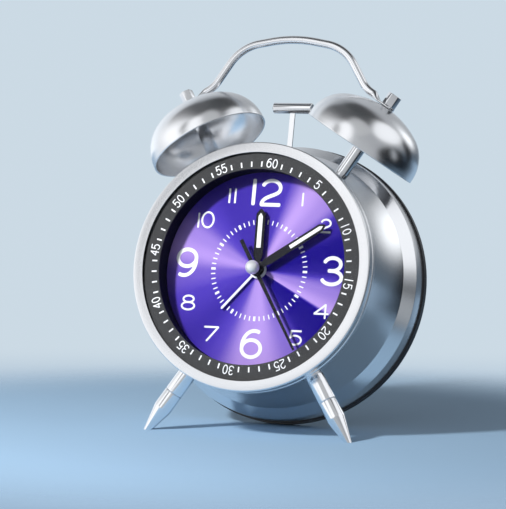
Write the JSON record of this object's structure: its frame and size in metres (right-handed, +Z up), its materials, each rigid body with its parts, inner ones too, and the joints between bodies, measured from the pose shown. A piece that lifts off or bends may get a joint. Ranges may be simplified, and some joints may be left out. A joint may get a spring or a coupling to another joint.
{
  "type": "twin bell alarm clock",
  "caption": "Analogue alarm clock with two dome bells, a hammer and a wire handle on a round metal case that leans back on splayed legs.",
  "frame": {"origin": "middle of the bounding box, on the table plane under the clock", "axes": "+Z up, the dial faces -Y, +X to the right as seen from the front"},
  "size_m": [0.1216, 0.0794, 0.1682],
  "materials": {
    "satin_silver": "satin",
    "polished_silver": "polished",
    "black_plastic": "fine grain",
    "ring_grey": "matte with white print",
    "frame_black": "matte",
    "dial_purple": "sunray lacquer with white print",
    "clear_glass": "clear",
    "hand_dark": "satin with white inlay",
    "hand_white": "white enamel",
    "gear_nylon": "natural nylon",
    "movement_black": "moulded",
    "steel": "plain",
    "copper_coil": "enamelled wire",
    "board_green": "solder resist",
    "battery_jacket": "plain jacket"
  },
  "bodies": {
    "clock": {"bezel": "satin_silver", "front_glass": "clear_glass", "chapter_ring": "ring_grey", "dial_well": "frame_black", "dial": "dial_purple", "case_shell": "satin_silver", "rear_cover": "black_plastic", "left_bell": "satin_silver", "right_bell": "satin_silver", "left_bell_post": "polished_silver", "right_bell_post": "polished_silver", "bell_nuts": "polished_silver", "post_nuts": "steel", "handle": "polished_silver", "left_leg": "polished_silver", "right_leg": "polished_silver", "left_foot": "polished_silver", "right_foot": "polished_silver", "leg_screws": "steel", "striker_core": "steel", "striker_coil": "copper_coil", "striker_bracket": "steel", "hammer_pin": "steel", "hammer_spring": "steel", "striker_screws": "steel", "movement_front_plate": "movement_black", "movement_housing": "movement_black", "movement_screws": "steel", "motor_stator": "steel", "motor_coil": "copper_coil", "circuit_board": "board_green", "quartz_crystal": "steel", "switch_contact_board": "board_green", "battery": "battery_jacket", "battery_contact": "steel", "battery_spring": "steel", "rear_cover_screws": "steel"},
    "second_works": {"second_wheel": "gear_nylon", "second_hand": "hand_dark", "second_hand_cap": "polished_silver"},
    "third_wheel_body": {"third_wheel": "gear_nylon"},
    "minute_works": {"centre_wheel": "gear_nylon", "minute_hand": "hand_dark"},
    "time_setting": {"minute_wheel": "gear_nylon", "time_knob": "black_plastic"},
    "hour_works": {"hour_wheel": "gear_nylon", "hour_hand": "hand_dark"},
    "alarm_works": {"alarm_wheel": "gear_nylon", "alarm_hand": "hand_white"},
    "alarm_setting": {"alarm_pinion": "gear_nylon", "alarm_knob": "black_plastic"},
    "fifth_wheel_body": {"fifth_wheel": "gear_nylon"},
    "rotor_body": {"motor_rotor": "gear_nylon"},
    "hammer": {"hammer_arm": "polished_silver", "hammer_armature": "steel", "hammer_head": "polished_silver"},
    "switch_slider": {"alarm_switch": "black_plastic"},
    "door": {"battery_door": "black_plastic"}
  },
  "joints": [
    {"name": "second_hand_turn", "type": "hinge", "parent": "clock", "child": "second_works", "pos_m": [0, -0.00825, 0.06692], "axis": [0, 0.9736, -0.2284], "continuous": true},
    {"name": "third_wheel_turn", "type": "hinge", "parent": "clock", "child": "third_wheel_body", "pos_m": [0, -0.00529, 0.07953], "axis": [0, 0.9736, -0.2284], "continuous": true},
    {"name": "minute_hand_turn", "type": "hinge", "parent": "clock", "child": "minute_works", "pos_m": [0, -0.00825, 0.06692], "axis": [0, 0.9736, -0.2284], "continuous": true},
    {"name": "hour_hand_turn", "type": "hinge", "parent": "clock", "child": "hour_works", "pos_m": [0, -0.00825, 0.06692], "axis": [0, 0.9736, -0.2284], "continuous": true},
    {"name": "time_knob_turn", "type": "hinge", "parent": "clock", "child": "time_setting", "pos_m": [0.015, -0.00825, 0.06692], "axis": [0, 0.9736, -0.2284], "continuous": true},
    {"name": "fifth_wheel_turn", "type": "hinge", "parent": "clock", "child": "fifth_wheel_body", "pos_m": [0, -0.01121, 0.0543], "axis": [0, 0.9736, -0.2284], "continuous": true},
    {"name": "motor_rotor_turn", "type": "hinge", "parent": "clock", "child": "rotor_body", "pos_m": [0.00993, -0.01161, 0.0526], "axis": [0, 0.9736, -0.2284], "continuous": true},
    {"name": "alarm_knob_turn", "type": "hinge", "parent": "clock", "child": "alarm_setting", "pos_m": [-0.015, -0.00825, 0.06692], "axis": [0, 0.9736, -0.2284], "continuous": true},
    {"name": "alarm_hand_turn", "type": "hinge", "parent": "clock", "child": "alarm_works", "pos_m": [0, -0.00825, 0.06692], "axis": [0, 0.9736, -0.2284], "continuous": true},
    {"name": "hammer_swing", "type": "hinge", "parent": "clock", "child": "hammer", "pos_m": [0.0027, 0.00607, 0.09643], "axis": [0, 0.9736, -0.2284], "range_deg": [-8, 1], "stiffness_Nm_per_rad": 0.02},
    {"name": "alarm_switch_slide", "type": "slide", "parent": "clock", "child": "switch_slider", "axis": [1, 0, 0], "range_m": [0, 0.003]},
    {"name": "battery_door_lift", "type": "slide", "parent": "clock", "child": "door", "axis": [0, 0.9736, -0.2284], "range_m": [0, 0.02]}
  ],
  "couplings": [
    {"joint": "third_wheel_turn", "follows": "second_hand_turn", "ratio": -0.125},
    {"joint": "minute_hand_turn", "follows": "second_hand_turn", "ratio": 0.016667},
    {"joint": "hour_hand_turn", "follows": "second_hand_turn", "ratio": 0.0013889},
    {"joint": "time_knob_turn", "follows": "second_hand_turn", "ratio": -0.0055556},
    {"joint": "fifth_wheel_turn", "follows": "second_hand_turn", "ratio": -5},
    {"joint": "motor_rotor_turn", "follows": "second_hand_turn", "ratio": 30},
    {"joint": "alarm_hand_turn", "follows": "alarm_knob_turn", "ratio": -0.66667}
  ]
}
